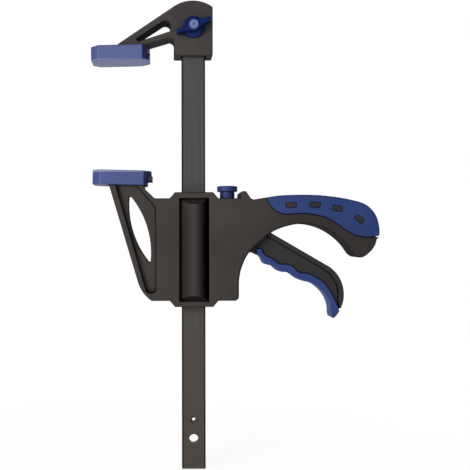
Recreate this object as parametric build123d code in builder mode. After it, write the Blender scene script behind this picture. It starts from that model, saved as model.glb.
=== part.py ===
from build123d import *
from math import cos, radians, sin
import os

# Quick release bar clamp, millimetres.  +Z runs up the bar, +X points from the jaws towards the
# handle, and -Y is the front, where the wing knob is.  The origin is the middle of the fixed jaw
# pad's clamping face.  Front-view outlines are drawn from the bar's centre line: sketch X is the
# distance to its right, sketch Y is row Z.

# Driving dimensions
bar_x = 58.2
bar_width = 19.0
bar_thickness = 5.5
bar_top = 38.0
bar_bottom = -327.0
bar_edge_cut = 0.4
bar_end_cut = 0.5
hanging_hole_z = -302.75
hanging_hole_r = 3.7
stop_hole_z = -287.6
stop_hole_r = 1.5
stop_hole_rim_r = 3.0
knob_z = 26.3

opening = 87.2
toe_in = 1.4
sliding_pad_x = 1.1
pad_length = 47.0
pad_depth = 28.0
pad_height = 11.8
pad_corner = 6.0
pad_layer = 4.2
plate_thickness = 4.0
pad_wall = 2.1
pad_slot_start = -11.5
pad_slot_half = 10.5
pad_edge_round = 0.8
foot_mouth_half = 10.0
fixed_foot_overhang = 0.0
sliding_foot_overhang = 0.8

jaw_half = 9.5
body_half = 13.5
body_top = -109.7
body_bottom = -191.0
collar_top = -104.9
collar_bottom = -195.8
collar_half = 15.1
shoulder_half = 19.2
web_half = 9.0
label_half_width = 11.65
label_floor = 7.8
label_crest = 15.0
label_ramp = 4.8
edge_round = 1.0
underside_round = 2.0

slide_gap = 0.3
fit_gap = 0.1
seam_groove = 0.5
skin = 2.3
plate_half = 6.0
plate_corner = 2.0
chamber_half = plate_half + slide_gap

trigger_pivot = (40.0, -138.0)
trigger_rim_half = 9.0
trigger_web_half = 7.2
trigger_slot_half = trigger_rim_half + slide_gap
pin_r = 2.5
pin_end_cut = 0.4
pin_gap = 0.08

brake_pivot = (-15.5, -121.5)
brake_tilt = 6.0
brake_thickness = 4.0
brake_length = 51.5
button_u = 27.3
drive_top = -144.3
drive_thickness = 3.0

bolt_r = 2.5
nut_width = 8.0
nut_height = 4.0
bolt_head_height = 3.6
screw_r = 1.5
screw_spots = [
    (-24.5, -118.0), (-24.5, -183.0), (27.5, -184.0), (51.5, -119.5), (84.5, -126.4), (132.0, -148.5),
]

os.makedirs("parts", exist_ok=True)


def front_plane(depth=0.0):
    """Front-view plane at row Y = depth, with its normal towards the front."""
    return Plane(origin=(bar_x, depth, 0), x_dir=(1, 0, 0), z_dir=(0, -1, 0))


def level_plane(height):
    """Plan-view plane at row Z = height, centred on the bar."""
    return Plane(origin=(bar_x, 0, height), x_dir=(1, 0, 0), z_dir=(0, 0, 1))


def spot(u, v, depth=0.0):
    """Place on a front-view plane, for holes that go back into the part."""
    return front_plane(depth).location * Location((u, v, 0))


def at_depth(sketch, depth):
    """Copy of a front-view sketch moved to row Y = depth."""
    return sketch.moved(Location((0, depth, 0)))


def save(piece, label):
    """Label a finished piece and write its STEP file."""
    piece.part.label = label
    export_step(piece.part, f"parts/{label}.step")


def clamping_face(centre_x, face_z, side):
    """Plane of a pad's clamping face, toed in at its outer tip, with its normal into the pad."""
    lean = radians(toe_in)
    return Plane(
        origin=(centre_x, 0, face_z),
        x_dir=(cos(lean), 0, side * sin(lean)),
        z_dir=(-sin(lean), 0, side * cos(lean)),
    )


fixed_face = clamping_face(0.0, 0.0, 1)
sliding_face = clamping_face(sliding_pad_x, -opening, -1)


def foot_outline(face, overhang, grow=0.0):
    """Plan of the foot plate that a pad slides over, narrower where it shows at the pad's open end."""
    inner_end = -pad_length / 2 + pad_wall - grow
    outer_end = pad_length / 2 + overhang
    side = pad_depth / 2 - pad_wall + grow
    mouth = foot_mouth_half + grow
    inner_cut = pad_corner - pad_wall * 0.6
    outer_cut = pad_length / 2 - pad_corner
    with BuildSketch(face) as foot:
        Polygon(
            (inner_end + inner_cut, -side), (outer_cut, -side), (outer_cut + side - mouth, -mouth),
            (outer_end, -mouth), (outer_end, mouth), (outer_cut + side - mouth, mouth), (outer_cut, side),
            (inner_end + inner_cut, side), (inner_end, side - inner_cut), (inner_end, -side + inner_cut),
            align=None,
        )
    return foot.sketch


# Bar: cold drawn flat, drilled for the jaw bolt, an end stop and a hanging hook
with BuildPart() as bar:
    with BuildSketch(front_plane()):
        with Locations((0, (bar_top + bar_bottom) / 2)):
            Rectangle(bar_width, bar_top - bar_bottom)
    extrude(amount=bar_thickness / 2, both=True)
    chamfer(bar.edges().filter_by(Axis.Z), bar_edge_cut)
    chamfer(bar.faces().sort_by(Axis.Z)[0].edges(), bar_end_cut)
    with Locations(spot(0, hanging_hole_z, -bar_thickness / 2)):
        Hole(hanging_hole_r)
    with Locations(spot(0, stop_hole_z, -bar_thickness / 2)):
        CounterSinkHole(stop_hole_r, stop_hole_rim_r)
    with Locations(spot(0, knob_z, -bar_thickness / 2)):
        Hole(bolt_r + fit_gap)
save(bar, "bar")

# Pads: one soft cap for each jaw, pushed on from the outer end over the jaw's foot plate
for label, face in (("fixed_jaw_pad", fixed_face), ("sliding_jaw_pad", sliding_face)):
    with BuildPart() as pad:
        with BuildSketch(face):
            block = Rectangle(pad_length, pad_depth)
            chamfer(block.vertices(), pad_corner)
        extrude(amount=pad_height)
        fillet(pad.edges(), pad_edge_round)
        foot_slot = foot_outline(face.offset(pad_layer), 1.0, fit_gap)
        extrude(foot_slot, amount=plate_thickness + fit_gap, mode=Mode.SUBTRACT)
        with BuildSketch(face.offset(pad_layer + plate_thickness)):
            with Locations((pad_slot_start, 0)):
                Rectangle(pad_length, 2 * pad_slot_half, align=(Align.MIN, Align.CENTER))
        extrude(amount=pad_height, mode=Mode.SUBTRACT)
    save(pad, label)

# Fixed jaw: moulded head with a dome, an open arm and a foot plate, socketed over the bar
jaw_left = -15.6
jaw_right = 15.3
jaw_bottom = 4.0
jaw_corner = 1.2
mouth_gap = 0.4
mouth_depth = 13.0
mouth_height = 3.0
with BuildPart() as fixed_jaw:
    with BuildSketch(front_plane()) as fixed_jaw_outline:
        with BuildLine():
            Polyline((-15.6, 43.4), (-60.3, 13.4), (-62.5, 7.0), (-41.0, 7.0), (-41.0, 11.7), (-21.6, 17.3))
            ThreePointArc((-21.6, 17.3), (-17.0, 17.1), (jaw_left, 13.2))
            Polyline((jaw_left, 13.2), (jaw_left, jaw_bottom), (jaw_right, jaw_bottom), (jaw_right, 42.8))
            ThreePointArc((jaw_right, 42.8), (-0.8, 47.9), (-15.6, 43.4))
        make_face()
        fillet(fixed_jaw_outline.vertices().sort_by_distance((jaw_right, jaw_bottom))[0], jaw_corner)
        fillet(fixed_jaw_outline.vertices().sort_by_distance((jaw_right, 42.8))[0], jaw_corner)
    extrude(amount=jaw_half, both=True)
    front_and_back = fixed_jaw.edges().group_by(Axis.Y)
    fillet(front_and_back[0] + front_and_back[-1], edge_round)
    jaw_foot = foot_outline(fixed_face.offset(pad_layer + fit_gap), fixed_foot_overhang)
    extrude(jaw_foot, amount=plate_thickness - fit_gap)
    with BuildSketch(front_plane()) as arm_hole:
        Polygon((-54.7, 11.6), (-18.3, 35.4), (-18.3, 23.4), align=None)
        fillet(arm_hole.vertices().sort_by_distance((-54.7, 11.6))[0], 1.6)
        fillet(arm_hole.vertices().sort_by_distance((-18.3, 35.4))[0], 4.3)
        fillet(arm_hole.vertices().sort_by_distance((-18.3, 23.4))[0], 2.0)
    extrude(amount=jaw_half, both=True, mode=Mode.SUBTRACT)
    with BuildSketch(level_plane(jaw_bottom)):
        Rectangle(bar_width + 2 * fit_gap, bar_thickness + 2 * fit_gap)
    extrude(amount=bar_top + fit_gap - jaw_bottom, mode=Mode.SUBTRACT)
    with BuildSketch(level_plane(jaw_bottom)):
        Rectangle(bar_width + 2 * mouth_gap, mouth_depth)
    extrude(amount=mouth_height, mode=Mode.SUBTRACT)
    with Locations(spot(0, knob_z, -jaw_half)):
        Hole(bolt_r + fit_gap)
    with BuildSketch(front_plane(jaw_half)):
        with Locations((0, knob_z)):
            RegularPolygon(nut_width / 2 + fit_gap, 6, major_radius=False)
    extrude(amount=bolt_head_height + 0.4, mode=Mode.SUBTRACT)
save(fixed_jaw, "fixed_jaw")

# Jaw bolt: hexagon head sunk in the back of the fixed jaw, its end covered by the knob's hub
knob_flange_r = 8.35
knob_flange_height = 3.2
knob_hub_r = 4.9
knob_height = 10.6
with BuildPart() as jaw_bolt:
    with BuildSketch(front_plane(jaw_half - 0.2)):
        with Locations((0, knob_z)):
            RegularPolygon(nut_width / 2, 6, major_radius=False)
    extrude(amount=bolt_head_height)
    with BuildSketch(front_plane(jaw_half - 0.2 - bolt_head_height)):
        with Locations((0, knob_z)):
            Circle(bolt_r)
    extrude(amount=2 * jaw_half + knob_height - 6.0)
    chamfer(jaw_bolt.edges().group_by(Axis.Y)[0], pin_end_cut)
save(jaw_bolt, "jaw_bolt")

# Wing knob: flange, tapered hub and two wings, moulded over a nut
knob_face = -jaw_half - slide_gap
knob_flange_round = 1.2
hub_taper = 6
wing_angle = 22.0
wing_reach = 13.6
wing_height = 7.4
wing_round = 0.5
with BuildPart() as wing_knob:
    with BuildSketch(front_plane(knob_face)):
        with Locations((0, knob_z)):
            Circle(knob_flange_r)
    extrude(amount=knob_flange_height)
    fillet(wing_knob.edges().group_by(Axis.Y)[0], knob_flange_round)
    with BuildSketch(front_plane(knob_face)):
        with Locations((0, knob_z)):
            Circle(knob_hub_r)
    extrude(amount=knob_height - slide_gap, taper=hub_taper)
    tilt = radians(wing_angle)
    wing_plane = Plane(
        origin=(bar_x, knob_face - 1.0, knob_z),
        x_dir=(cos(tilt), 0, sin(tilt)),
        z_dir=(0, -1, 0),
    )
    with BuildSketch(wing_plane):
        with BuildLine():
            ThreePointArc((-wing_reach, -1.5), (-8.0, -1.9), (-3.4, -4.0))
            Line((-3.4, -4.0), (3.4, -4.0))
            ThreePointArc((3.4, -4.0), (8.0, -1.9), (wing_reach, -1.5))
            ThreePointArc((wing_reach, -1.5), (wing_reach + 1.0, 0), (wing_reach, 1.5))
            ThreePointArc((wing_reach, 1.5), (8.0, 1.9), (3.4, 4.0))
            Line((3.4, 4.0), (-3.4, 4.0))
            ThreePointArc((-3.4, 4.0), (-8.0, 1.9), (-wing_reach, 1.5))
            ThreePointArc((-wing_reach, 1.5), (-wing_reach - 1.0, 0), (-wing_reach, -1.5))
        make_face()
    extrude(amount=wing_height)
    fillet(wing_knob.edges().group_by(Axis.Y)[0], wing_round)
    with BuildSketch(front_plane(knob_face)):
        with Locations((0, knob_z)):
            RegularPolygon(nut_width / 2 + fit_gap, 6, major_radius=False)
    extrude(amount=nut_height + 2 * fit_gap, mode=Mode.SUBTRACT)
    with BuildSketch(front_plane(knob_face)):
        with Locations((0, knob_z)):
            Circle(bolt_r + pin_gap)
    extrude(amount=knob_height - 1.9, mode=Mode.SUBTRACT)
save(wing_knob, "wing_knob")

with BuildPart() as knob_nut:
    with BuildSketch(front_plane(knob_face - fit_gap)):
        with Locations((0, knob_z)):
            RegularPolygon(nut_width / 2, 6, major_radius=False)
            Circle(bolt_r + 0.05, mode=Mode.SUBTRACT)
    extrude(amount=nut_height)
save(knob_nut, "knob_nut")

# Handle outlines shared by the shells and the soft grip
handle_top = [
    (57.5, -109.1), (65.2, -107.9), (77.0, -107.1), (96.8, -107.2), (113.3, -108.9), (128.3, -111.9),
    (136.6, -115.1), (141.6, -119.7), (145.6, -127.2), (146.9, -134.5), (146.8, -139.6),
]
grip_edge = [
    (58.1, -111.1), (61.5, -117.0), (67.9, -121.7), (74.0, -122.8), (84.8, -122.1), (94.0, -122.9),
    (103.9, -125.3), (111.0, -128.8), (120.2, -135.4), (128.1, -139.5), (136.5, -140.9), (143.8, -140.6),
]
windows = [
    (77.0, -115.1, 0.0, 8.7), (95.9, -115.0, -2.0, 8.6), (113.6, -117.9, -9.0, 8.0),
    (130.8, -126.3, -38.0, 7.8),
]
window_height = 4.3
boss_sink = 0.4


handle_curve = Spline(handle_top, tangents=[(1, 0.16), (-0.1, -1)])


def handle_area(inset):
    """Handle seen from the front, its top and end moved inwards by the inset."""
    inner = []
    for step in range(13):
        place = handle_curve @ (step / 12)
        along = handle_curve % (step / 12)
        inner.append((place.X + inset * along.Y, place.Y - inset * along.X))
    with BuildSketch(front_plane()) as area:
        with BuildLine():
            curve = Spline(inner)
            Polyline(curve @ 1, (144.0 - inset, -150.0), (57.5 + inset, -150.0), curve @ 0)
        make_face()
    return area


def above_grip_edge(rise):
    """Everything above the line where the soft grip meets the shells."""
    edge = [(u, v + rise) for u, v in grip_edge]
    with BuildSketch(front_plane()) as above:
        with BuildLine():
            curve = Spline(edge)
            Polyline(curve @ 1, (150.0, -140.6 + rise), (150.0, -100.0), (52.5, -100.0), curve @ 0)
        make_face()
    return above


# Half of the housing: jaw arm, collar, label channel, handle and all the chambers inside
bump_left = 36.6
bump_top = -104.1
with BuildSketch(front_plane()) as body_outline:
    with BuildLine():
        Polyline(
            (bump_left, body_top), (shoulder_half, body_top), (collar_half, collar_top),
            (-collar_half, collar_top), (-shoulder_half, body_top), (-31.2, body_top), (-39.2, -102.0),
            (-39.2, -92.0), (-68.2, -92.0), (-68.2, -97.0), (-66.9, -100.5),
        )
        jaw_back = Line((-66.9, -100.5), (-44.5, -176.0))
        TangentArc(jaw_back @ 1, (-33.7, body_bottom), tangent=jaw_back % 1)
        Polyline(
            (-33.7, body_bottom), (-shoulder_half, body_bottom), (-collar_half, collar_bottom),
            (collar_half, collar_bottom), (shoulder_half, body_bottom), (35.6, body_bottom), (35.6, -179.0),
        )
        underside = Spline(
            [
                (35.6, -179.0), (37.1, -166.8), (39.8, -159.5), (43.9, -152.6), (53.3, -143.5),
                (61.9, -136.6), (70.7, -132.8), (81.0, -130.4), (87.0, -130.0), (96.4, -131.4),
                (106.2, -135.1), (116.0, -141.9), (121.0, -146.8), (124.8, -152.0), (127.4, -155.2),
                (131.0, -156.9), (134.6, -156.2), (138.7, -153.2), (141.6, -150.1), (143.9, -146.0),
                (145.3, -141.4),
            ],
            tangents=[(0, 1), (0.35, 0.94)],
        )
        Line(underside @ 1, handle_top[-1])
        top_curve = Spline(handle_top, tangents=[(1, 0.16), (-0.1, -1)])
        Polyline(
            top_curve @ 0, (45.8, -111.1), (41.2, bump_top), (bump_left, bump_top), (bump_left, body_top),
        )
    make_face()
    knuckles = body_outline.vertices()
    fillet(knuckles.sort_by_distance((35.6, body_bottom))[0], 3.6)
    fillet(body_outline.vertices().sort_by_distance((45.8, -111.1))[0], 4.0)
    fillet(body_outline.vertices().sort_by_distance((41.2, bump_top))[0], 2.4)
    fillet(body_outline.vertices().sort_by_distance((bump_left, bump_top))[0], 2.6)

with BuildSketch(front_plane()) as web_recess:
    Polygon((-62.6, -97.6), (-37.7, -184.8), (-30.2, -184.8), (-30.2, -117.0), (-47.0, -97.6), align=None)
    fillet(web_recess.vertices().group_by(Axis.Y)[0], 3.0)

with BuildSketch(front_plane()) as web_window:
    with BuildLine():
        ThreePointArc((-51.7, -106.2), (-37.3, -132.0), (-34.7, -162.0))
        ThreePointArc((-34.7, -162.0), (-48.8, -136.1), (-51.7, -106.2))
    make_face()
    fillet(web_window.vertices(), 1.0)

# Label panel: a flat-sided pocket over the bar with a half-round bulge in it, ramped at both ends
label_top = body_top + 0.1
label_bottom = body_bottom - 0.6
label_rise = label_crest - label_floor
bulge_r = (label_half_width**2 + label_rise**2) / (2 * label_rise)
with BuildPart() as label_pocket:
    with BuildSketch(front_plane(-label_floor)):
        with Locations((0, (label_top + label_bottom) / 2)):
            Rectangle(2 * label_half_width, label_top - label_bottom)
    extrude(amount=body_half)
with BuildPart() as label_bulge:
    with BuildSketch(level_plane(label_bottom)):
        with Locations((0, bulge_r - label_crest)):
            Circle(bulge_r)
    extrude(amount=label_top - label_bottom)
    with BuildSketch(Plane(origin=(bar_x, 0, 0), x_dir=(0, 1, 0), z_dir=(1, 0, 0))):
        Polygon(
            (-label_floor, label_bottom), (-label_floor, label_top), (-label_crest, label_top - label_ramp),
            (-label_crest, label_bottom + label_ramp),
            align=None,
        )
    extrude(amount=label_half_width, both=True, mode=Mode.INTERSECT)

# Chambers cut into each shell, as front-view outlines with a half depth
brake_chamber = [
    (-18.4, -119.2), (-12.0, -118.4), (19.0, -114.8), (19.0, -112.2), (35.2, -112.2), (35.2, -125.6),
    (-12.0, -125.6), (-18.4, -124.4),
]
drive_chamber = [(-15.3, -143.9), (28.6, -143.9), (28.6, -154.9), (-15.3, -154.9)]
trigger_slot = [
    (20.0, -133.8), (33.2, -133.8), (34.5, -130.4), (40.0, -128.6), (52.5, -128.2), (67.0, -131.4),
    (80.0, -135.0), (60.0, -165.0), (33.0, -153.8), (31.5, -148.6), (20.0, -148.6),
]
core_pocket = [
    (68.0, -117.5), (78.0, -112.8), (97.0, -112.0), (115.0, -114.5), (130.0, -120.0), (138.5, -131.0),
    (134.5, -139.0), (124.5, -137.0), (112.0, -125.5), (100.0, -119.5), (85.0, -118.0), (75.0, -119.5),
]
body_pockets = [
    [(-27.5, -128.0), (-21.0, -128.0), (-21.0, -176.0), (-27.5, -176.0)],
    [(12.6, -171.5), (23.0, -171.5), (23.0, -187.5), (12.6, -187.5)],
]

pocket_depth = 10.0
core_depth = 8.0
neck_half = 10.2
button_bore_r = 6.2
flange_bore_r = 7.6
spring_bore_r = 5.0
drive_spring_u = 16.5
pin_end = 11.2

with BuildPart() as half_shell:
    extrude(body_outline.sketch, amount=body_half)
    grip_end = (bar_x + 145.2, -body_half, -140.8)
    fillet(half_shell.edges().group_by(Axis.Y)[0].sort_by(SortBy.LENGTH)[-1], underside_round)
    front_edges = half_shell.edges().group_by(Axis.Y)[0].sort_by_distance(grip_end)[1:]
    fillet(front_edges.sort_by(SortBy.LENGTH)[:-1], edge_round)
    with BuildSketch(sliding_face.offset(pad_height + fit_gap)):
        with Locations((0, neck_half + body_half)):
            Rectangle(2 * pad_length, 2 * body_half)
    extrude(amount=-pad_height, mode=Mode.SUBTRACT)
    arm_foot = foot_outline(sliding_face.offset(pad_layer + fit_gap), sliding_foot_overhang)
    extrude(arm_foot, amount=plate_thickness - fit_gap)
    extrude(above_grip_edge(0).sketch, amount=body_half, mode=Mode.SUBTRACT)
    with BuildSketch(front_plane()):
        add(handle_area(skin).sketch_local)
        add(above_grip_edge(-skin).sketch_local, mode=Mode.INTERSECT)
    extrude(amount=body_half - skin)
    extrude(at_depth(web_recess.sketch, -web_half), amount=body_half, mode=Mode.SUBTRACT)
    extrude(web_window.sketch, amount=body_half, mode=Mode.SUBTRACT)
    add(label_pocket.part, mode=Mode.SUBTRACT)
    add(label_bulge.part)
    with BuildSketch(level_plane(collar_bottom)):
        Rectangle(bar_width + 2 * slide_gap, bar_thickness + 2 * slide_gap)
    extrude(amount=collar_top - collar_bottom, mode=Mode.SUBTRACT)
    for outline, half_depth in (
        (brake_chamber, chamber_half), (drive_chamber, chamber_half), (trigger_slot, trigger_slot_half),
        (body_pockets[0], pocket_depth), (body_pockets[1], pocket_depth),
    ):
        with BuildSketch(front_plane()):
            Polygon(*outline, align=None)
        extrude(amount=half_depth, mode=Mode.SUBTRACT)
    with BuildSketch(front_plane()):
        with BuildLine():
            Spline(core_pocket, periodic=True)
        make_face()
    extrude(amount=core_depth, mode=Mode.SUBTRACT)
    for u, low, high, radius in (
        (button_u, -113.0, -104.0, button_bore_r), (button_u, -119.6, -112.2, flange_bore_r),
        (button_u, -131.3, -124.0, spring_bore_r), (drive_spring_u, -168.5, -154.0, spring_bore_r),
    ):
        with BuildSketch(level_plane(low)):
            with Locations((u, 0)):
                Circle(radius)
        extrude(amount=high - low, mode=Mode.SUBTRACT)
    for u, v, turn, length in windows:
        with BuildSketch(front_plane(skin - body_half)):
            with Locations(Location((u, v, 0), (0, 0, turn))):
                Rectangle(length - 2 * fit_gap, window_height - 2 * fit_gap)
        extrude(amount=skin - boss_sink)
    with BuildSketch(front_plane()):
        with Locations(trigger_pivot):
            Circle(pin_r + 0.05)
    extrude(amount=pin_end + fit_gap, mode=Mode.SUBTRACT)
    split(bisect_by=front_plane(), keep=Keep.TOP)

# Shells: the front one takes the screw threads, the back one the sunk heads
screw_seat = 7.0
screw_end = 9.5
screw_head_r = 2.75
screw_head_height = 2.0
cross_length = 3.4
cross_width = 0.7
cross_depth = 1.1
with BuildPart() as housing_front:
    add(half_shell.part)
    with BuildSketch(front_plane()):
        with Locations(*screw_spots):
            Circle(screw_r + 0.05)
    extrude(amount=screw_end + 1, mode=Mode.SUBTRACT)
save(housing_front, "housing_front")

with BuildPart() as housing_back:
    mirror(half_shell.part, about=Plane.XZ)
    with BuildSketch(front_plane(body_half)):
        with Locations(*screw_spots):
            Circle(screw_head_r + 0.25)
    extrude(amount=body_half - screw_seat, mode=Mode.SUBTRACT)
    with BuildSketch(front_plane(body_half)):
        with Locations(*screw_spots):
            Circle(screw_r + 0.05)
    extrude(amount=body_half, mode=Mode.SUBTRACT)
save(housing_back, "housing_back")

with BuildPart() as housing_screws:
    with BuildSketch(front_plane(screw_seat + screw_head_height)):
        with Locations(*screw_spots):
            Circle(screw_head_r)
    extrude(amount=screw_head_height)
    with BuildSketch(front_plane(screw_seat)):
        with Locations(*screw_spots):
            Circle(screw_r)
    extrude(amount=screw_seat + screw_end)
    with BuildSketch(front_plane(screw_seat + screw_head_height)):
        with Locations(*screw_spots):
            Rectangle(cross_length, cross_width)
            Rectangle(cross_width, cross_length)
    extrude(amount=cross_depth, mode=Mode.SUBTRACT)
save(housing_screws, "housing_screws")

# Handle grip: soft saddle over the top of the handle, its windows filled by the shells' bosses
grip_round = 1.6
with BuildPart() as handle_grip:
    with BuildSketch(front_plane()):
        with BuildLine():
            grip_top = Spline(handle_top, tangents=[(1, 0.16), (-0.1, -1)])
            grip_low = Spline([(u, v + seam_groove) for u, v in grip_edge])
            Line(grip_top @ 0, grip_low @ 0)
            Line(grip_top @ 1, grip_low @ 1)
        make_face()
    extrude(amount=body_half, both=True)
    long_edges = handle_grip.edges().filter_by(lambda edge: edge.length > 100)
    fillet(long_edges.filter_by(lambda edge: edge.center().Z > -122), grip_round)
    with BuildSketch(front_plane()):
        add(handle_area(skin - fit_gap).sketch_local)
    extrude(amount=body_half - skin + fit_gap, both=True, mode=Mode.SUBTRACT)
    for u, v, turn, length in windows:
        with BuildSketch(front_plane()):
            with Locations(Location((u, v, 0), (0, 0, turn))):
                Rectangle(length, window_height)
        extrude(amount=2 * body_half, both=True, mode=Mode.SUBTRACT)
save(handle_grip, "handle_grip")

# Trigger: lever with a raised back rim, a round hub on the pin and a beak over the drive plates
hub_r = 7.0
beak_half = 5.5
beak_tip_r = 3.0
tongue_half = 6.4
grip_seam = [
    (54.3, -149.6), (59.4, -156.2), (61.9, -157.3), (68.5, -161.8), (75.1, -162.3), (79.2, -163.9),
    (84.2, -168.7), (90.3, -169.4), (95.4, -171.4), (103.0, -176.1), (107.0, -180.6), (112.7, -190.8),
    (115.2, -196.4),
]
finger_edge = [
    (50.6, -154.6), (52.8, -155.8), (54.5, -158.2), (55.6, -160.6), (57.2, -162.2), (60.0, -162.9),
    (62.8, -163.6), (64.8, -165.3), (66.8, -167.1), (69.6, -168.3), (73.0, -168.5), (76.2, -169.3),
    (79.2, -171.3), (82.4, -173.6), (85.7, -175.2), (88.9, -176.0), (92.5, -176.7), (97.2, -179.2),
    (100.6, -181.9), (103.3, -184.7), (106.6, -189.5), (108.5, -194.3), (109.3, -199.0), (109.5, -203.0),
    (110.8, -205.2), (112.3, -204.4), (115.8, -199.6),
]
tongue_edge = [
    (54.8, -152.5), (58.6, -156.6), (64.0, -160.4), (68.0, -163.6), (75.0, -165.4), (83.0, -170.6),
    (90.5, -172.9), (98.6, -176.3), (105.0, -182.6), (108.9, -189.4), (111.0, -195.8), (112.2, -200.0),
    (113.9, -198.9),
]
lever_back = [
    (107.9, -164.3), (112.8, -168.7), (116.9, -175.0), (119.1, -183.0), (118.8, -191.7), (116.6, -197.6),
]
rim_line = [(105.5, -167.4), (110.6, -172.9), (113.6, -178.0), (114.9, -185.7), (115.2, -194.8)]


def trigger_shape(seam):
    """Front view of the lever, with the given line as its border towards the fingers."""
    with BuildSketch(front_plane()) as shape:
        with BuildLine():
            back = Spline(lever_back)
            border = Spline(seam)
            Line((52.5, -132.0), back @ 0)
            Line(back @ 1, border @ 1)
            Polyline(
                border @ 0, (49.7, -149.6), (50.6, -154.8), (47.4, -153.0), (44.2, -152.9), (36.0, -152.0),
                (34.0, -143.0), (41.0, -131.05), (52.5, -132.0),
            )
        make_face()
    return shape


with BuildPart() as trigger:
    extrude(trigger_shape(grip_seam).sketch, amount=trigger_web_half, both=True)
    extrude(trigger_shape(tongue_edge).sketch, amount=tongue_half, both=True)
    with BuildSketch(front_plane()):
        with BuildLine():
            back = Spline(lever_back)
            inner = Spline(rim_line)
            Line((52.5, -132.0), back @ 0)
            Line(back @ 1, inner @ 1)
            Polyline(inner @ 0, (61.3, -141.5), (44.0, -131.4), (52.5, -132.0))
        make_face()
    extrude(amount=trigger_rim_half, both=True)
    with BuildSketch(front_plane()):
        with Locations(trigger_pivot):
            Circle(hub_r)
    extrude(amount=trigger_rim_half, both=True)
    with BuildSketch(front_plane()):
        Polygon((41.0, -131.05), (34.0, -134.4), (22.5, -138.3), (25.0, -143.8), (34.0, -143.0), align=None)
        with Locations((24.0, -141.0)):
            Circle(beak_tip_r)
    extrude(amount=beak_half, both=True)
    with BuildSketch(front_plane()):
        with Locations(trigger_pivot):
            Circle(pin_r + pin_gap)
    extrude(amount=body_half, both=True, mode=Mode.SUBTRACT)
save(trigger, "trigger")

# Trigger grip: soft cover with finger waves, moulded round the lever's tongue
seam_step = 0.25
with BuildPart() as trigger_grip:
    with BuildSketch(front_plane()):
        with BuildLine():
            waves = Spline(finger_edge)
            seam_line = Spline([(u - seam_step, v - seam_step) for u, v in grip_seam])
            Polyline(seam_line @ 0, (49.9, -150.0), waves @ 0)
            Line(waves @ 1, seam_line @ 1)
        make_face()
    extrude(amount=trigger_rim_half, both=True)
    extrude(trigger_shape(tongue_edge).sketch, amount=tongue_half + fit_gap, both=True, mode=Mode.SUBTRACT)
save(trigger_grip, "trigger_grip")

with BuildPart() as trigger_pin:
    with BuildSketch(front_plane(pin_end)):
        with Locations(trigger_pivot):
            Circle(pin_r)
    extrude(amount=2 * pin_end)
    chamfer(trigger_pin.edges(), pin_end_cut)
save(trigger_pin, "trigger_pin")

# Drive plates: two flat steel plates round the bar, pushed down by the beak against a spring
plate_left = -14.5
plate_right = 27.0
plate_hole_width = 19.8
plate_hole_depth = 6.1
plate_pitch = drive_thickness + 0.05
for label, top in (("drive_plate_upper", drive_top), ("drive_plate_lower", drive_top - plate_pitch)):
    with BuildPart() as drive_plate:
        with BuildSketch(level_plane(top - drive_thickness)):
            with Locations(((plate_left + plate_right) / 2, 0)):
                RectangleRounded(plate_right - plate_left, 2 * plate_half, plate_corner)
            Rectangle(plate_hole_width, plate_hole_depth, mode=Mode.SUBTRACT)
        extrude(amount=drive_thickness)
    save(drive_plate, label)

# Brake plate: thicker plate hooked at its left end, cocked on the bar by the spring under its free end
brake_hole_width = 20.2
brake_end = 2.0
tilt = radians(brake_tilt)
brake_plane = Plane(
    origin=(bar_x + brake_pivot[0], 0, brake_pivot[1]),
    x_dir=(cos(tilt), 0, sin(tilt)),
    z_dir=(-sin(tilt), 0, cos(tilt)),
)
with BuildPart() as brake_plate:
    with BuildSketch(brake_plane.offset(-brake_thickness / 2)):
        with Locations(((brake_length - brake_end) / 2, 0)):
            Rectangle(brake_length - brake_end, 2 * plate_half)
        with Locations((-brake_pivot[0] / cos(tilt), 0)):
            Rectangle(brake_hole_width, plate_hole_depth, mode=Mode.SUBTRACT)
    extrude(amount=brake_thickness)
    upright_edges = brake_plate.edges().filter_by(Axis((0, 0, 0), brake_plane.z_dir))
    fillet(upright_edges.group_by(Axis.X)[-1], plate_corner)
    with BuildSketch(front_plane(plate_half)):
        with Locations(brake_pivot):
            Circle(brake_thickness / 2)
    extrude(amount=2 * plate_half)
save(brake_plate, "brake_plate")

# Springs: round wire wound into open coils
wire_r = 0.55
coil_r = 3.9
for label, u, low, high, turns in (
    ("drive_spring", drive_spring_u, -168.3, drive_top - 2 * drive_thickness - 0.35, 7),
    ("brake_spring", button_u, -131.2, -119.5, 5),
):
    pitch = (high - low - 2 * wire_r) / turns
    with BuildPart() as spring:
        with BuildLine():
            coil = Helix(pitch, pitch * turns, coil_r, center=(bar_x + u, 0, low + wire_r))
        with BuildSketch(Plane(origin=coil @ 0, z_dir=coil % 0)):
            Circle(wire_r)
        sweep(path=coil)
    save(spring, label)

# Release button: mushroom head with a dished top, neck and a flange that keeps it in the housing
button_profile = [
    (0.0, -100.3), (5.4, -100.1), (7.2, -99.6), (8.2, -99.7), (8.2, -104.0), (5.9, -104.0), (5.9, -112.5),
    (7.1, -112.5), (7.1, -113.9), (0.0, -113.9),
]
with BuildPart() as release_button:
    with BuildSketch(front_plane()):
        Polygon(*[(button_u + r, v) for r, v in button_profile], align=None)
    revolve(axis=Axis((bar_x + button_u, 0, 0), (0, 0, 1)))
save(release_button, "release_button")
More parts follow.
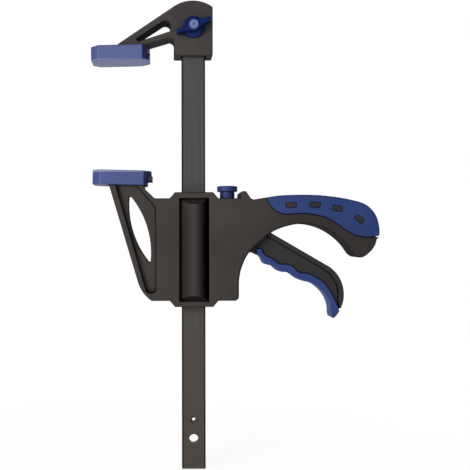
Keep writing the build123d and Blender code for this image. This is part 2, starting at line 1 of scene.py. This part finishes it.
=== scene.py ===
import bpy
from math import radians
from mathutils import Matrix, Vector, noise


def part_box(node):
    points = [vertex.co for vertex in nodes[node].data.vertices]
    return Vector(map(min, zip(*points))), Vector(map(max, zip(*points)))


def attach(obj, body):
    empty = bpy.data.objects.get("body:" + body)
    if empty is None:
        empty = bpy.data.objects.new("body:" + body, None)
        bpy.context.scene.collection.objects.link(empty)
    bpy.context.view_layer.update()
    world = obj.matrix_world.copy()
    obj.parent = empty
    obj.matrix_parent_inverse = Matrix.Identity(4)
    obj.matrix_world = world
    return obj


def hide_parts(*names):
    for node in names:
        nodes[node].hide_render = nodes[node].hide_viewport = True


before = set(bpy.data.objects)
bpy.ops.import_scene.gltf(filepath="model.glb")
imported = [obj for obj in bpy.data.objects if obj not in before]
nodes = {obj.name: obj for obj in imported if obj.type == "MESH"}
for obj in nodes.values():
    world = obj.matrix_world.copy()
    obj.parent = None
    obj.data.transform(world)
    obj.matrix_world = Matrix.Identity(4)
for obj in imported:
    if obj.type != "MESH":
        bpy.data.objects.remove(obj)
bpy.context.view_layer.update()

# Bar
# Cold drawn flat steel, blackened and oiled.  Its broad faces keep the fine marks of the die along
# their length, its long edges carry painted shade, and the fixed jaw is bolted to its upper end.
def share_between(tree, reading, low, high, start=0.0, end=1.0):
    """Share that goes from start to end while a reading goes from low to high."""
    share = tree.nodes.new("ShaderNodeMapRange")
    share.inputs["From Min"].default_value = low
    share.inputs["From Max"].default_value = high
    share.inputs["To Min"].default_value = start
    share.inputs["To Max"].default_value = end
    tree.links.new(reading, share.inputs["Value"])
    return share.outputs["Result"]


def reckon(tree, operation, *readings):
    """Work on one or two readings, each of them a socket or a plain number."""
    result = tree.nodes.new("ShaderNodeMath")
    result.operation = operation
    for socket, reading in zip(result.inputs, readings):
        if isinstance(reading, float):
            socket.default_value = reading
        else:
            tree.links.new(reading, socket)
    return result.outputs["Value"]


def mix_tones(tree, share, under, over, how="MIX"):
    """Lay one tone over another by a share, each of them a socket or a plain value."""
    mix = tree.nodes.new("ShaderNodeMix")
    mix.data_type = "RGBA"
    mix.blend_type = how
    for name, value in (("Factor", share), ("A", under), ("B", over)):
        if isinstance(value, (float, tuple)):
            mix.inputs[name].default_value = value
        else:
            tree.links.new(value, mix.inputs[name])
    return mix.outputs["Result"]


def paint_over(material, share, tone, how="MIX"):
    """Lay a tone over the colour that a material has so far."""
    tree = material.node_tree
    colour = tree.nodes["Principled BSDF"].inputs["Base Color"]
    painted = mix_tones(tree, share, colour.links[0].from_socket, tone, how)
    tree.links.new(painted, colour)


def band(material, axis, low, high, soft, tone, amount):
    """Blend a tone into a material between two places along one axis of the object."""
    tree = material.node_tree
    place = tree.nodes.new("ShaderNodeTexCoord")
    split = tree.nodes.new("ShaderNodeSeparateXYZ")
    tree.links.new(place.outputs["Object"], split.inputs["Vector"])
    enter = share_between(tree, split.outputs[axis], low - soft, low)
    leave = share_between(tree, split.outputs[axis], high + soft, high)
    both = reckon(tree, "MULTIPLY", enter, leave)
    part = reckon(tree, "MULTIPLY", both, amount)
    paint_over(material, part, (*tone, 1))


def dress(node_name, material):
    """Give a carried over part its finished material."""
    part = nodes[node_name]
    part.data.materials.clear()
    part.data.materials.append(material)


bar_middle = 0.0582
bar_edge_shade_span = (0.0079, 0.0087)
bar_edge_shade = 0.12
narrow_side = (0.0094, 0.00948)
die_marks = (900.0, 900.0, 14.0)
bar_black = bpy.data.materials.new("bar_black_steel")
bar_black.use_nodes = True
tree = bar_black.node_tree
shader = tree.nodes["Principled BSDF"]
shader.inputs["Roughness"].default_value = 0.5
shader.inputs["Specular IOR Level"].default_value = 0.1
place = tree.nodes.new("ShaderNodeTexCoord")
stretch = tree.nodes.new("ShaderNodeMapping")
stretch.inputs["Scale"].default_value = die_marks
streaks = tree.nodes.new("ShaderNodeTexNoise")
streaks.inputs["Scale"].default_value = 1.0
streaks.inputs["Detail"].default_value = 5.0
tones = tree.nodes.new("ShaderNodeValToRGB")
tones.color_ramp.elements[0].position = 0.3
tones.color_ramp.elements[0].color = (0.048, 0.046, 0.044, 1)
tones.color_ramp.elements[1].position = 0.75
tones.color_ramp.elements[1].color = (0.066, 0.063, 0.061, 1)
scratch = tree.nodes.new("ShaderNodeBump")
scratch.inputs["Strength"].default_value = 0.12
scratch.inputs["Distance"].default_value = 0.0001
split = tree.nodes.new("ShaderNodeSeparateXYZ")
tree.links.new(place.outputs["Object"], stretch.inputs["Vector"])
tree.links.new(stretch.outputs["Vector"], streaks.inputs["Vector"])
tree.links.new(streaks.outputs["Fac"], tones.inputs["Fac"])
tree.links.new(tones.outputs["Color"], shader.inputs["Base Color"])
tree.links.new(streaks.outputs["Fac"], scratch.inputs["Height"])
tree.links.new(scratch.outputs["Normal"], shader.inputs["Normal"])
tree.links.new(place.outputs["Object"], split.inputs["Vector"])
band(bar_black, "Z", low=-0.34, high=-0.25, soft=0.14, tone=(0.054, 0.041, 0.032), amount=0.55)
# Painted shade along the bar's long edges, near black at the arris.
away = reckon(tree, "SUBTRACT", split.outputs["X"], bar_middle)
sideways = reckon(tree, "ABSOLUTE", away)
broad_face = share_between(tree, sideways, *bar_edge_shade_span, start=1.0, end=bar_edge_shade)
past_arris = share_between(tree, sideways, *narrow_side)
off_arris = reckon(tree, "MAXIMUM", broad_face, past_arris)
paint_over(bar_black, 1.0, off_arris, "MULTIPLY")
dress("bar", bar_black)


# Fixed jaw
# Head of glass filled nylon on the bar's end, moulded near black with a fine spark eroded texture.
# Its edges, corners and the walls square to the parting plane carry painted shade, darker than its
# front.
def moulding(
    name, low, high, roughness, gloss, grain, edge_shade_tone,
    wall_shade_tone=1.0, edge_shade_start=0.88, underside=0.0, recess_shade_reach=0.007,
):
    """Moulded plastic: fine grain, slow changes of tone, painted shade on rounded edges, walls and
    corners.
    """
    square_on = 0.99
    wall_shade_start = 0.75
    corner_shade_reach = 0.0018
    material = bpy.data.materials.new(name)
    material.use_nodes = True
    tree = material.node_tree
    shader = tree.nodes["Principled BSDF"]
    shader.inputs["Roughness"].default_value = roughness
    shader.inputs["Specular IOR Level"].default_value = gloss
    place = tree.nodes.new("ShaderNodeTexCoord")
    clouds = tree.nodes.new("ShaderNodeTexNoise")
    clouds.inputs["Scale"].default_value = 28.0
    clouds.inputs["Detail"].default_value = 3.0
    tones = tree.nodes.new("ShaderNodeValToRGB")
    tones.name = "plain_tones"
    tones.color_ramp.elements[0].position = 0.35
    tones.color_ramp.elements[0].color = (*low, 1)
    tones.color_ramp.elements[1].position = 0.7
    tones.color_ramp.elements[1].color = (*high, 1)
    texture = tree.nodes.new("ShaderNodeTexNoise")
    texture.inputs["Scale"].default_value = grain
    texture.inputs["Detail"].default_value = 2.0
    relief = tree.nodes.new("ShaderNodeBump")
    relief.inputs["Strength"].default_value = 0.25
    relief.inputs["Distance"].default_value = 0.00006
    rounding = tree.nodes.new("ShaderNodeBevel")
    rounding.samples = 6
    rounding.inputs["Radius"].default_value = 0.0008
    surface = tree.nodes.new("ShaderNodeNewGeometry")
    tilt = tree.nodes.new("ShaderNodeSeparateXYZ")
    turn = tree.nodes.new("ShaderNodeVectorMath")
    turn.operation = "DOT_PRODUCT"
    tree.links.new(place.outputs["Object"], clouds.inputs["Vector"])
    tree.links.new(clouds.outputs["Fac"], tones.inputs["Fac"])
    tree.links.new(place.outputs["Object"], texture.inputs["Vector"])
    tree.links.new(texture.outputs["Fac"], relief.inputs["Height"])
    tree.links.new(rounding.outputs["Normal"], relief.inputs["Normal"])
    tree.links.new(relief.outputs["Normal"], shader.inputs["Normal"])
    tree.links.new(surface.outputs["Normal"], tilt.inputs["Vector"])
    tree.links.new(rounding.outputs["Normal"], turn.inputs[0])
    tree.links.new(surface.outputs["Normal"], turn.inputs[1])
    # Painted shade: walls square to the front, rounded edges, corners and recesses are darkened; faces
    # turned down can be left out of the wall shade.
    facing = reckon(tree, "ABSOLUTE", tilt.outputs["Y"])
    facing_down = reckon(tree, "MULTIPLY", tilt.outputs["Z"], -underside)
    lit_facing = reckon(tree, "MAXIMUM", facing, facing_down)
    off_wall = share_between(tree, lit_facing, wall_shade_start, square_on, start=wall_shade_tone)
    off_edge = share_between(tree, turn.outputs["Value"], edge_shade_start, square_on)
    light_share = reckon(tree, "MULTIPLY", off_wall, off_edge)
    for reach, in_shade, out_of_shade in ((corner_shade_reach, 0.45, 0.8), (recess_shade_reach, 0.0, 0.65)):
        occlusion = tree.nodes.new("ShaderNodeAmbientOcclusion")
        occlusion.samples = 12
        occlusion.inputs["Distance"].default_value = reach
        open_share = share_between(tree, occlusion.outputs["AO"], in_shade, out_of_shade)
        light_share = reckon(tree, "MULTIPLY", open_share, light_share)
    edge_colour = (*[edge_shade_tone * part for part in low], 1)
    shaded = mix_tones(tree, light_share, edge_colour, tones.outputs["Color"])
    tree.links.new(shaded, shader.inputs["Base Color"])
    return material


nylon = {
    "roughness": 0.7,
    "gloss": 0.01,
    "grain": 1900.0,
    "edge_shade_tone": 0.06,
    "wall_shade_tone": 0.42,
    "edge_shade_start": 0.968,
}
jaw_black = ((0.041, 0.037, 0.036), (0.051, 0.046, 0.044))
# The jaw's undersides are left out of the painted wall shade, so they stay lighter.
jaw_nylon = moulding("black_nylon_jaw", *jaw_black, underside=1.0, recess_shade_reach=0.016, **nylon)
dress("fixed_jaw", jaw_nylon)

# Housing shells
# The same nylon in two shells that meet on a thin dark parting line at mid depth and are screwed
# together from the back.  The end of the handle carries painted shade, darker towards the butt.
shell_black = ((0.040, 0.035, 0.033), (0.050, 0.044, 0.042))
shell_nylon = moulding("black_nylon_shells", *shell_black, **nylon)
band(shell_nylon, "Y", low=-0.00012, high=0.00012, soft=0.00006, tone=(0.006, 0.006, 0.006), amount=0.9)
# Painted shade: darker towards the end of the handle.
band(shell_nylon, "X", low=0.14, high=0.3, soft=0.05, tone=(0.018, 0.015, 0.015), amount=0.4)
dress("housing_back", shell_nylon)
front_nylon = shell_nylon.copy()
front_nylon.name = "black_nylon_front_shell"
dress("housing_front", front_nylon)

# Label panel
# A bare half round panel moulded in a flat sided pocket of the front shell, over the bar.  Painted
# shade lies across the panel, near black along its right side, and its sloped ends carry painted shade
# too.
panel_half = 0.01165
panel_level = -0.1506
panel_reach = 0.041
sloped_end = 0.0052
slope_start = 0.3
slope_full = 0.8
mask_margin = 0.0004
mask_blur = 0.0002
# Painted shade across the half round panel, lightest left of its middle and near black at the right.
panel_shade_stops = ((0.08, 0.42), (0.3, 0.62), (0.48, 0.95), (0.58, 0.82), (0.72, 0.4), (0.86, 0.08))
tree = front_nylon.node_tree
place = tree.nodes.new("ShaderNodeTexCoord")
split = tree.nodes.new("ShaderNodeSeparateXYZ")
surface = tree.nodes.new("ShaderNodeNewGeometry")
tilt = tree.nodes.new("ShaderNodeSeparateXYZ")
panel_shade = tree.nodes.new("ShaderNodeValToRGB")
panel_shade.color_ramp.elements[0].color = (0.35, 0.35, 0.35, 1)
panel_shade.color_ramp.elements[1].color = (0.02, 0.02, 0.02, 1)
for position, tone in panel_shade_stops:
    stop = panel_shade.color_ramp.elements.new(position)
    stop.color = (tone, tone, tone, 1)
tree.links.new(place.outputs["Object"], split.inputs["Vector"])
tree.links.new(surface.outputs["Normal"], tilt.inputs["Vector"])
across = share_between(tree, split.outputs["X"], bar_middle - panel_half, bar_middle + panel_half)
tree.links.new(across, panel_shade.inputs["Fac"])
apart = {}
inside = []
for axis, middle, half in (("X", bar_middle, panel_half), ("Z", panel_level, panel_reach)):
    away = reckon(tree, "SUBTRACT", split.outputs[axis], middle)
    apart[axis] = reckon(tree, "ABSOLUTE", away)
    inside.append(share_between(tree, apart[axis], half + mask_margin, half + mask_margin - mask_blur))
steepness = reckon(tree, "ABSOLUTE", tilt.outputs["Z"])
on_slope = share_between(tree, steepness, slope_start, slope_full)
# Painted shade on the sloped ends of the panel.
slope_shade = share_between(tree, apart["Z"], panel_reach - sloped_end, panel_reach, start=0.28, end=0.6)
plain = tree.nodes["plain_tones"].outputs["Color"]
panel_shaded = mix_tones(tree, 1.0, plain, panel_shade.outputs["Color"], "MULTIPLY")
shaded_ends = mix_tones(tree, 1.0, plain, slope_shade, "MULTIPLY")
panel_shade_tone = mix_tones(tree, on_slope, panel_shaded, shaded_ends)
on_panel = reckon(tree, "MULTIPLY", *inside)
paint_over(front_nylon, on_panel, panel_shade_tone)

# Trigger lever
# One piece of the same nylon, a shade darker from the fingers, which turns on a steel pin between
# the two shells.
lever_black = ((0.027, 0.026, 0.025), (0.033, 0.032, 0.031))
lever_nylon = moulding("black_nylon_lever", *lever_black, **nylon)
dress("trigger", lever_nylon)


# Jaw pads
# Soft elastomer caps with rounded edges, slid over the jaws' foot plates.  Their clamping faces
# carry a painted pale highlight, and the faces towards the bar carry painted shade in deep blue.
def soft_piece(node_name, piece_name, body, rubber, cell, rounds, swell):
    """Soft moulded piece in the place of its plain solid: edges melted round, faces slightly uneven."""
    broad_waves = 90.0
    fine_waves = 260.0
    piece = bpy.data.objects.new(piece_name, nodes[node_name].data.copy())
    bpy.context.scene.collection.objects.link(piece)
    skin = piece.modifiers.new("skin", "REMESH")
    skin.mode = "VOXEL"
    skin.voxel_size = cell
    melt = piece.modifiers.new("melt", "SMOOTH")
    melt.factor = 0.5
    melt.iterations = rounds
    graph = bpy.context.evaluated_depsgraph_get()
    cast = bpy.data.meshes.new_from_object(piece.evaluated_get(graph))
    piece.modifiers.clear()
    piece.data = cast
    moved = []
    for point in cast.vertices:
        wave = noise.noise(point.co * broad_waves) + 0.5 * noise.noise(point.co * fine_waves)
        moved.extend(point.co + point.normal * wave * swell)
    cast.vertices.foreach_set("co", moved)
    for face in cast.polygons:
        face.use_smooth = True
    cast.materials.clear()
    cast.materials.append(rubber)
    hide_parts(node_name)
    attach(piece, body)


def paint_end_shade(material):
    """Paint shade in deep blue on the faces of a pad that look towards the bar."""
    tree = material.node_tree
    surface = tree.nodes.new("ShaderNodeNewGeometry")
    tilt = tree.nodes.new("ShaderNodeSeparateXYZ")
    tree.links.new(surface.outputs["Normal"], tilt.inputs["Vector"])
    # Painted shade on faces turned towards the bar.
    end_shade = share_between(tree, tilt.outputs["X"], low=0.4, high=0.65, end=0.85)
    end_shade_blue = (0.001, 0.006, 0.08, 1)
    paint_over(material, end_shade, end_shade_blue)


elastomer = {"roughness": 0.55, "grain": 1500.0, "edge_shade_tone": 0.25}
pad_cast = {"cell": 0.0004, "rounds": 3, "swell": 0.00004}
fixed_pad_blue = ((0.034, 0.050, 0.158), (0.046, 0.066, 0.193))
fixed_pad_rubber = moulding("blue_pad_rubber_fixed", *fixed_pad_blue, gloss=0.5, **elastomer)
# Painted pale highlight on the clamping face.
band(fixed_pad_rubber, "Z", low=-0.002, high=0.0004, soft=0.0004, tone=(0.11, 0.132, 0.26), amount=0.85)
paint_end_shade(fixed_pad_rubber)
soft_piece("fixed_jaw_pad", "fixed_jaw_pad_cap", "bar", fixed_pad_rubber, **pad_cast)
sliding_pad_blue = ((0.016, 0.034, 0.145), (0.026, 0.046, 0.175))
sliding_pad_rubber = moulding("blue_pad_rubber_sliding", *sliding_pad_blue, gloss=0.5, **elastomer)
# Painted pale highlight along the clamping face.
band(sliding_pad_rubber, "Z", low=-0.0884, high=-0.084, soft=0.0006, tone=(0.20, 0.22, 0.34), amount=0.7)
paint_end_shade(sliding_pad_rubber)
soft_piece("sliding_jaw_pad", "sliding_jaw_pad_cap", "slider", sliding_pad_rubber, **pad_cast)

# Handle and trigger grips
# The same elastomer moulded over the top of the handle and the finger side of the lever, a little
# deeper in colour, with rounded lips along the grooves where they meet the black plastic.
grip_cast = {"rounds": 4, "swell": 0.00003}
grip_blue = ((0.019, 0.038, 0.137), (0.028, 0.049, 0.163))
grip_rubber = moulding("blue_grip_rubber", *grip_blue, gloss=0.1, **elastomer)
soft_piece("handle_grip", "handle_grip_cover", "slider", grip_rubber, cell=0.00045, **grip_cast)
soft_piece("trigger_grip", "trigger_grip_cover", "trigger", grip_rubber, cell=0.0004, **grip_cast)

# Wing knob
# Hard blue plastic with a captive nut in its underside, screwed onto the jaw bolt and closed over
# the bolt's end.  Its hub carries a painted highlight, a small paler ring.
hard_plastic = {"roughness": 0.4, "grain": 2400.0, "edge_shade_tone": 0.3}
hub_radius = 0.0044
highlight_blue = (0.14, 0.18, 0.36, 1)
highlight_stops = ((0.2, 0.45), (0.45, 0.95), (0.65, 0.75))
knob_tones = ((0.004, 0.011, 0.075), (0.006, 0.016, 0.10))
knob_blue = moulding("hard_blue_knob", *knob_tones, gloss=0.06, **hard_plastic)
lowest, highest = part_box("wing_knob")
hub_centre = [(low + high) / 2 for low, high in zip(lowest, highest)]
tree = knob_blue.node_tree
place = tree.nodes.new("ShaderNodeTexCoord")
flatten = tree.nodes.new("ShaderNodeMapping")
flatten.inputs["Location"].default_value = (-hub_centre[0], 0, -hub_centre[2])
flatten.inputs["Scale"].default_value = (1, 0, 1)
out_from_hub = tree.nodes.new("ShaderNodeVectorMath")
out_from_hub.operation = "LENGTH"
hub_highlight = tree.nodes.new("ShaderNodeValToRGB")
hub_highlight.color_ramp.elements[0].color = (0.4, 0.4, 0.4, 1)
hub_highlight.color_ramp.elements[1].color = (0, 0, 0, 1)
for position, tone in highlight_stops:
    stop = hub_highlight.color_ramp.elements.new(position)
    stop.color = (tone, tone, tone, 1)
tree.links.new(place.outputs["Object"], flatten.inputs["Vector"])
tree.links.new(flatten.outputs["Vector"], out_from_hub.inputs[0])
# Painted highlight on the hub: a paler ring around its middle.
hub_share = share_between(tree, out_from_hub.outputs["Value"], 0.0, hub_radius)
tree.links.new(hub_share, hub_highlight.inputs["Fac"])
paint_over(knob_blue, hub_highlight.outputs["Color"], highlight_blue)
dress("wing_knob", knob_blue)

# Release button
# The same hard plastic in a lighter blue, a round button in a bore on top of the shells.  Pressed,
# it frees the brake plate from the bar.
button_tones = ((0.020, 0.036, 0.125), (0.027, 0.045, 0.15))
button_blue = moulding("hard_blue_button", *button_tones, gloss=0.1, **hard_plastic)
dress("release_button", button_blue)

# Bolt, nut, screws, pin, plates and springs
# Bright zinc plated steel, turned, stamped and wound.  The heads of the bolt and the screws show at
# the back, and the rest is out of sight inside the knob and the housing.
zinc = bpy.data.materials.new("zinc_plated_steel")
zinc.use_nodes = True
tree = zinc.node_tree
shader = tree.nodes["Principled BSDF"]
shader.inputs["Metallic"].default_value = 1.0
place = tree.nodes.new("ShaderNodeTexCoord")
spangle = tree.nodes.new("ShaderNodeTexNoise")
spangle.inputs["Scale"].default_value = 600.0
spangle.inputs["Detail"].default_value = 4.0
tones = tree.nodes.new("ShaderNodeValToRGB")
tones.color_ramp.elements[0].color = (0.42, 0.42, 0.44, 1)
tones.color_ramp.elements[1].color = (0.60, 0.60, 0.61, 1)
tree.links.new(place.outputs["Object"], spangle.inputs["Vector"])
tree.links.new(spangle.outputs["Fac"], tones.inputs["Fac"])
tree.links.new(tones.outputs["Color"], shader.inputs["Base Color"])
dullness = share_between(tree, spangle.outputs["Fac"], 0.0, 1.0, start=0.25, end=0.42)
tree.links.new(dullness, shader.inputs["Roughness"])
for part_name in (
    "jaw_bolt", "knob_nut", "housing_screws", "trigger_pin", "drive_plate_upper", "drive_plate_lower",
    "drive_spring", "brake_plate", "brake_spring",
):
    dress(part_name, zinc)


# Floor, light and camera
# A white floor under the bar's end and a white room.  Two large soft lamps stand on the front side
# and one behind, and the camera looks level at the clamp's front.
def lamp(name, place, turn, width, power):
    """Large square soft lamp, turned by degrees from looking straight down."""
    light = bpy.data.lights.new(name, "AREA")
    light.shape = "SQUARE"
    light.size = width
    light.energy = power
    holder = bpy.data.objects.new(name, light)
    holder.location = place
    holder.rotation_euler = [radians(part) for part in turn]
    bpy.context.scene.collection.objects.link(holder)


bar_foot = (0.06, 0, -0.3272)
floor_size = 6.0
shadow_near = 0.02
shadow_far = 0.35
floor_glow = 0.6
bpy.ops.mesh.primitive_plane_add(size=floor_size, location=bar_foot)
floor = bpy.context.object
floor.name = "floor"
floor.data.transform(floor.matrix_world)
floor.location = (0, 0, 0)
white = bpy.data.materials.new("white_floor")
white.use_nodes = True
tree = white.node_tree
paper = tree.nodes["Principled BSDF"]
paper.inputs["Base Color"].default_value = (0.9, 0.9, 0.9, 1)
paper.inputs["Roughness"].default_value = 0.9
glow = tree.nodes.new("ShaderNodeEmission")
rays = tree.nodes.new("ShaderNodeLightPath")
spot = tree.nodes.new("ShaderNodeTexCoord")
reach = tree.nodes.new("ShaderNodeVectorMath")
reach.operation = "DISTANCE"
reach.inputs[1].default_value = bar_foot
bright = tree.nodes.new("ShaderNodeMixShader")
tree.links.new(spot.outputs["Object"], reach.inputs[0])
mirrored = reckon(tree, "MAXIMUM", rays.outputs["Is Camera Ray"], rays.outputs["Is Glossy Ray"])
seen_ray = reckon(tree, "MAXIMUM", mirrored, rays.outputs["Is Transmission Ray"])
fade = share_between(tree, reach.outputs["Value"], shadow_near, shadow_far, start=0.85)
white_share = reckon(tree, "MULTIPLY", seen_ray, fade)
bounce = reckon(tree, "MAXIMUM", white_share, floor_glow)
tree.links.new(bounce, bright.inputs["Fac"])
tree.links.new(paper.outputs["BSDF"], bright.inputs[1])
tree.links.new(glow.outputs["Emission"], bright.inputs[2])
tree.links.new(bright.outputs["Shader"], tree.nodes["Material Output"].inputs["Surface"])
floor.data.materials.append(white)

world = bpy.data.worlds.new("white_room")
bpy.context.scene.world = world
world.use_nodes = True
tree = world.node_tree
room = tree.nodes["Background"]
room.inputs["Color"].default_value = (1, 1, 1, 1)
room.inputs["Strength"].default_value = 0.1
seen = tree.nodes.new("ShaderNodeBackground")
seen.inputs["Color"].default_value = (1, 1, 1, 1)
rays = tree.nodes.new("ShaderNodeLightPath")
way = tree.nodes.new("ShaderNodeTexCoord")
split = tree.nodes.new("ShaderNodeSeparateXYZ")
blend = tree.nodes.new("ShaderNodeMixShader")
tree.links.new(way.outputs["Generated"], split.inputs["Vector"])
either = reckon(tree, "MAXIMUM", rays.outputs["Is Glossy Ray"], rays.outputs["Is Transmission Ray"])
backdrop = share_between(tree, split.outputs["Y"], low=0.4, high=0.9)
mirrored = reckon(tree, "MULTIPLY", either, backdrop)
any_ray = reckon(tree, "MAXIMUM", mirrored, rays.outputs["Is Camera Ray"])
tree.links.new(any_ray, blend.inputs["Fac"])
tree.links.new(room.outputs["Background"], blend.inputs[1])
tree.links.new(seen.outputs["Background"], blend.inputs[2])
tree.links.new(blend.outputs["Shader"], tree.nodes["World Output"].inputs["Surface"])

lamp("key_lamp", place=(-0.45, -0.62, 0.05), turn=(77, 0, -38), width=0.4, power=6.7)
lamp("fill_lamp", place=(0.1, -1.5, -0.1), turn=(90, 0, 0), width=0.5, power=3.0)
lamp("rim_lamp", place=(0.55, 0.85, 0.5), turn=(56, 0, 150), width=0.6, power=13.0)

camera = bpy.data.cameras.new("camera")
camera.lens = 57.45
camera.sensor_width = 36.0
camera.shift_x = 0.149
viewer = bpy.data.objects.new("camera", camera)
viewer.location = (0.0352, -0.606, -0.1388)
viewer.rotation_euler = (radians(90), radians(0.09), 0)
bpy.context.scene.collection.objects.link(viewer)
bpy.context.scene.camera = viewer

bpy.context.scene.view_settings.view_transform = "Standard"
